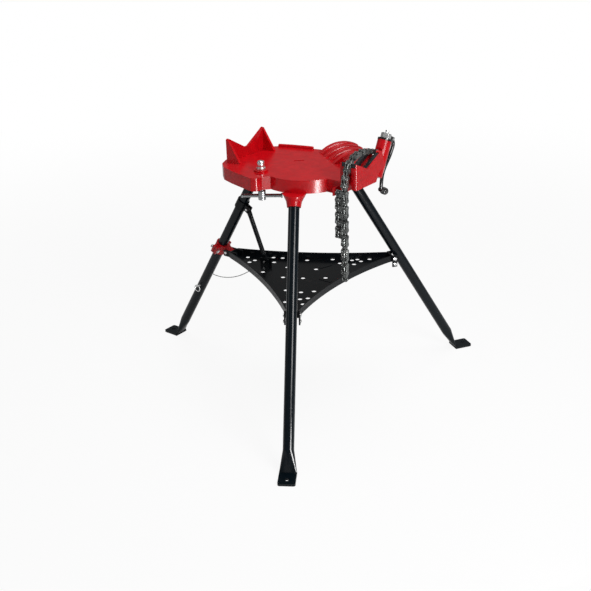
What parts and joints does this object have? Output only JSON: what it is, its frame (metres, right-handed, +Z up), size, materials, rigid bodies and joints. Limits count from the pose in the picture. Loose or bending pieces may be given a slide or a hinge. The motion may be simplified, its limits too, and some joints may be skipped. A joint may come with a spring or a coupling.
{
  "type": "tripod pipe vise stand",
  "caption": "Folding tripod stand with a cast table, chain vise, pipe rest, pipe bender, overhead brace screw and a perforated tool tray between the legs.",
  "frame": {"origin": "on the floor, on the vertical axis that the three legs splay from", "axes": "+X along the pipe from the pipe rest to the vise, +Z up, +Y to the left of a user looking along +X, on the side of the crank column"},
  "size_m": [1.0474, 1.151, 0.9038],
  "materials": {
    "red_cast": "gloss red enamel over casting",
    "red_collar": "gloss red enamel",
    "leg_black": "semi-gloss black powder coat",
    "tray_black": "semi-gloss black powder coat",
    "jaw_black": "blackened tool steel",
    "zinc": "bright zinc plate",
    "chain_steel": "dark oiled steel",
    "black_oxide": "black oxide",
    "knob_black": "smooth black"
  },
  "bodies": {
    "stand": {"head_casting": "red_cast", "vise_jaw_rear": "jaw_black", "vise_jaw_front": "jaw_black", "front_leg_left": "leg_black", "front_leg_right": "leg_black", "rear_leg": "leg_black", "strut_bracket": "tray_black", "strut_top_pin": "zinc", "chain_lay_links": "chain_steel", "chain_lay_pins": "chain_steel", "keeper_pin": "zinc", "lanyard": "zinc", "lanyard_rivet": "zinc"},
    "collar": {"rear_collar": "red_collar", "collar_cap": "red_collar", "collar_bolts": "zinc", "tray_hinge_pin": "zinc"},
    "tray": {"tray": "tray_black", "tray_clip_left": "tray_black", "tray_clip_right": "tray_black", "clip_bolts_left": "zinc", "clip_bolts_right": "zinc"},
    "strut": {"strut": "tray_black", "strut_foot_pin": "zinc"},
    "retainer": {"retaining_pin": "zinc", "retaining_ring": "zinc"},
    "chain_upper": {"chain_upper_links": "chain_steel", "chain_upper_pins": "chain_steel"},
    "chain_lower": {"chain_lower_links": "chain_steel", "chain_lower_pins": "chain_steel"},
    "chain_tail": {"chain_tail_links": "chain_steel", "chain_tail_pins": "chain_steel"},
    "tension_screw": {"chain_screw": "zinc"},
    "crank": {"crank_head": "black_oxide", "crank_nut": "zinc", "crank_pivot": "zinc"},
    "handle": {"crank_handle": "black_oxide"},
    "knob": {"crank_knob": "knob_black"},
    "brace_nose": {"brace_nose": "zinc"},
    "brace_screw": {"brace_screw": "zinc"},
    "brace_bar": {"brace_bar": "zinc", "brace_bar_ends": "zinc"}
  },
  "joints": [
    {"name": "collar_slide", "type": "slide", "parent": "stand", "child": "collar", "axis": [0.5145, 0, 0.8575], "range_m": [0, 0.1]},
    {"name": "tray_fold", "type": "hinge", "parent": "collar", "child": "tray", "pos_m": [-0.323, 0, 0.413], "axis": [0, 1, 0], "range_deg": [0, 23.01]},
    {"name": "strut_swing", "type": "hinge", "parent": "stand", "child": "strut", "pos_m": [-0.225, 0, 0.592], "axis": [0, 1, 0], "range_deg": [-13.01, 0]},
    {"name": "retaining_pin_pull", "type": "slide", "parent": "stand", "child": "retainer", "axis": [0, -1, 0], "range_m": [0, 0.06]},
    {"name": "chain_upper_swing", "type": "hinge", "parent": "stand", "child": "chain_upper", "pos_m": [0.24, -0.0818, 0.78203], "axis": [1, 0, 0], "range_deg": [-8, 45]},
    {"name": "chain_lower_swing", "type": "hinge", "parent": "chain_upper", "child": "chain_lower", "pos_m": [0.24, -0.0818, 0.63803], "axis": [1, 0, 0], "range_deg": [-45, 45]},
    {"name": "chain_tail_swing", "type": "hinge", "parent": "stand", "child": "chain_tail", "pos_m": [0.214, -0.076, 0.755], "axis": [1, 0, 0], "range_deg": [-60, 3]},
    {"name": "crank_turn", "type": "hinge", "parent": "stand", "child": "crank", "pos_m": [0.24, 0.143, 0.871], "axis": [0, 0.4695, 0.8829], "range_deg": [-60, 60]},
    {"name": "tension_screw_slide", "type": "slide", "parent": "stand", "child": "tension_screw", "axis": [0, 0.4695, 0.8829], "range_m": [-0.001, 0.001]},
    {"name": "handle_fold", "type": "hinge", "parent": "crank", "child": "handle", "pos_m": [0.24, 0.17708, 0.86907], "axis": [1, 0, 0], "range_deg": [0, 90]},
    {"name": "knob_spin", "type": "hinge", "parent": "handle", "child": "knob", "pos_m": [0.24, 0.13294, 0.70873], "axis": [0, 0.8829, -0.4695], "continuous": true},
    {"name": "brace_slide", "type": "slide", "parent": "stand", "child": "brace_nose", "axis": [0, 0, 1], "range_m": [0, 0.0251]},
    {"name": "brace_turn", "type": "hinge", "parent": "brace_nose", "child": "brace_screw", "pos_m": [-0.066, -0.112, 0.74], "axis": [0, 0, 1], "range_deg": [0, 1800]},
    {"name": "brace_bar_slide", "type": "slide", "parent": "brace_screw", "child": "brace_bar", "axis": [0.829, 0.5592, 0], "range_m": [-0.038, 0.038]}
  ],
  "couplings": [
    {"joint": "tray_fold", "follows": "collar_slide", "rad_per_m": 4.0143},
    {"joint": "strut_swing", "follows": "collar_slide", "rad_per_m": -2.2689},
    {"joint": "tension_screw_slide", "follows": "crank_turn", "m_per_rad": 0.00079577},
    {"joint": "brace_slide", "follows": "brace_turn", "m_per_rad": 0.00079577}
  ]
}
